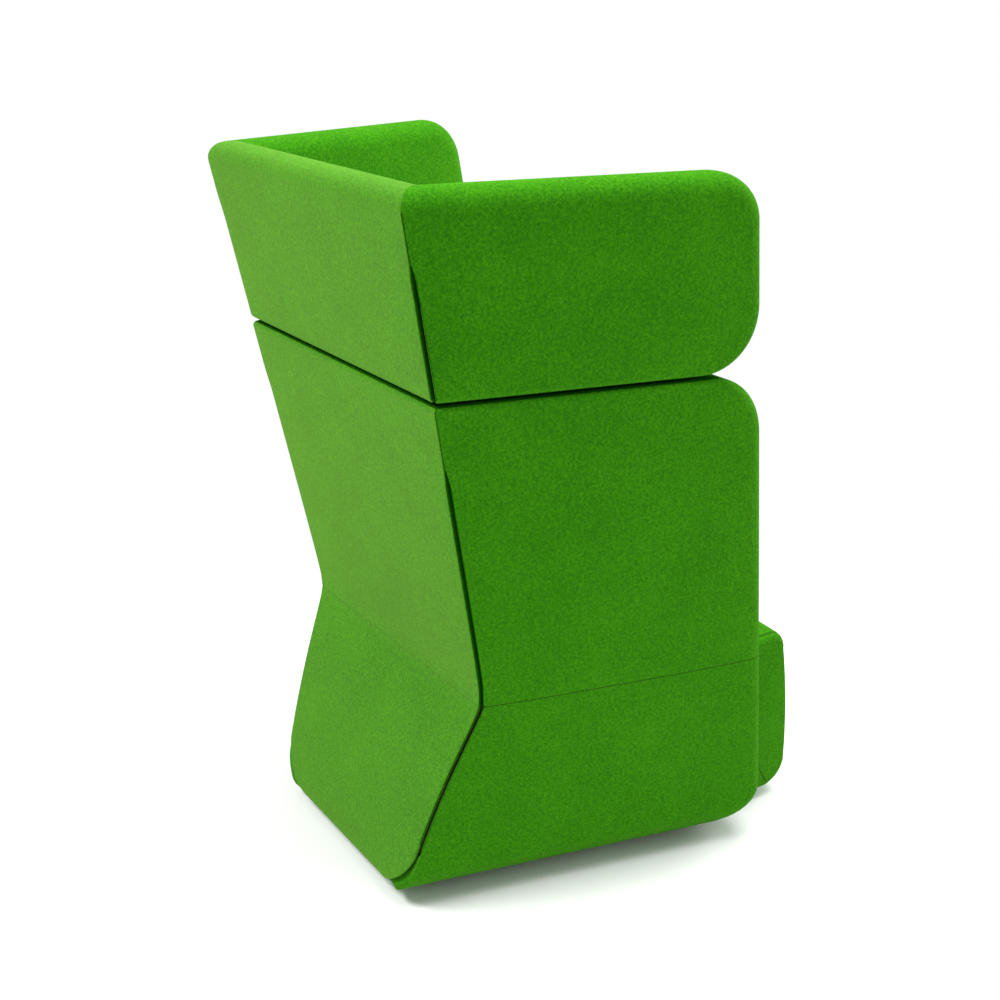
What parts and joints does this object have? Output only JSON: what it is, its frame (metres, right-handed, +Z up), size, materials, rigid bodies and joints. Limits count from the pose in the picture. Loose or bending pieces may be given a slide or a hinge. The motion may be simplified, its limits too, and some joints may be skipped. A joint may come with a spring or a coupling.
{
  "type": "high back lounge chair",
  "caption": "Upholstered high back lounge chair: felt-covered bent shell, separate wing screen around the head above an open joint, deep seat block and hidden levelling glides.",
  "frame": {"origin": "on the floor under the middle of the chair", "axes": "+Z up, the sitter faces -Y, +X is on the sitter's left"},
  "size_m": [0.9244, 0.8416, 1.25],
  "materials": {
    "felt": "woven wool felt, fine melange",
    "foam": "cold cured foam",
    "webbing": "elastic webbing",
    "dust_cloth": "black non-woven",
    "plywood": "birch plywood",
    "beech": "planed beech",
    "glide_plastic": "moulded nylon",
    "steel": "zinc plated"
  },
  "bodies": {
    "chair": {"glide_inserts": "steel", "join_plates_back": "steel", "join_plates_left": "steel", "join_plates_right": "steel", "plate_screws": "steel", "runner_left": "beech", "runner_right": "beech", "seat_corner_blocks": "beech", "seat_cover": "felt", "seat_dust_cloth": "dust_cloth", "seat_foam": "foam", "seat_frame_bolts": "steel", "seat_front_board": "plywood", "seat_rear_board": "plywood", "seat_side_board_left": "plywood", "seat_side_board_right": "plywood", "seat_webbing_cross": "webbing", "seat_webbing_long": "webbing", "shell_back_core_lower": "plywood", "shell_back_core_upper": "plywood", "shell_back_cover": "felt", "shell_back_foam": "foam", "shell_corner_batten_left": "beech", "shell_corner_batten_right": "beech", "shell_side_core_left": "plywood", "shell_side_core_right": "plywood", "shell_side_cover_left": "felt", "shell_side_cover_right": "felt", "shell_side_foam_left": "foam", "shell_side_foam_right": "foam", "tee_nuts": "steel", "wing_back_core": "plywood", "wing_back_cover": "felt", "wing_back_foam": "foam", "wing_corner_batten_left": "beech", "wing_corner_batten_right": "beech", "wing_side_core_left": "plywood", "wing_side_core_right": "plywood", "wing_side_cover_left": "felt", "wing_side_cover_right": "felt", "wing_side_foam_left": "foam", "wing_side_foam_right": "foam"},
    "glide_front_left": {"glide_pad_front_left": "glide_plastic", "glide_stud_front_left": "steel"},
    "glide_front_right": {"glide_pad_front_right": "glide_plastic", "glide_stud_front_right": "steel"},
    "glide_rear_left": {"glide_pad_rear_left": "glide_plastic", "glide_stud_rear_left": "steel"},
    "glide_rear_right": {"glide_pad_rear_right": "glide_plastic", "glide_stud_rear_right": "steel"}
  },
  "joints": [
    {"name": "glide_front_left_screw", "type": "slide", "parent": "chair", "child": "glide_front_left", "axis": [0, 0, -1], "range_m": [0, 0.01]},
    {"name": "glide_front_right_screw", "type": "slide", "parent": "chair", "child": "glide_front_right", "axis": [0, 0, -1], "range_m": [0, 0.01]},
    {"name": "glide_rear_left_screw", "type": "slide", "parent": "chair", "child": "glide_rear_left", "axis": [0, 0, -1], "range_m": [0, 0.01]},
    {"name": "glide_rear_right_screw", "type": "slide", "parent": "chair", "child": "glide_rear_right", "axis": [0, 0, -1], "range_m": [0, 0.01]}
  ]
}
